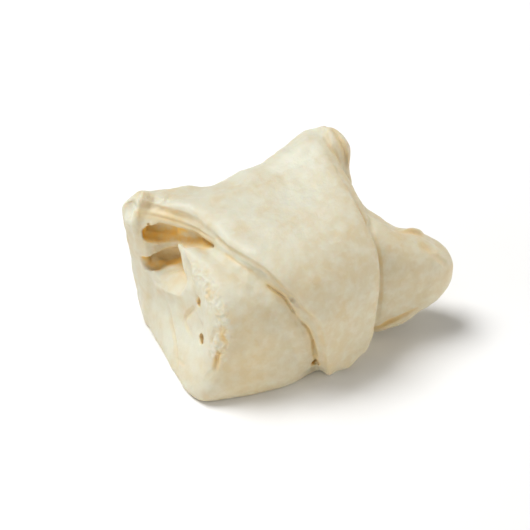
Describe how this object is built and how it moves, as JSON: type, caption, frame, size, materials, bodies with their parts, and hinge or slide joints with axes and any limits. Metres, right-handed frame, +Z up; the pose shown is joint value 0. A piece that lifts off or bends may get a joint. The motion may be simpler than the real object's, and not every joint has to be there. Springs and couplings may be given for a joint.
{
  "type": "unbaked kouign amann",
  "caption": "Raw laminated dough square folded into a low parcel, with a strap-like corner drawn over the top, an open fold at the left end, a peaked back fold and a tongue at the right.",
  "frame": {"origin": "middle of the part's bounding box, at the plane of its flat base", "axes": "X runs along the parcel, from the open fold at the left end (-X) to the tongue at the right (+X). Y runs from the front, where the strap's tip is tucked under (-Y), to the back fold (+Y). +Z is up from the base."},
  "size_m": [0.0794, 0.0528, 0.0455],
  "materials": {
    "dough": "soft, slightly moist raw dough with a satin skin"
  },
  "bodies": {
    "root": {"dough": "dough"}
  },
  "joints": []
}
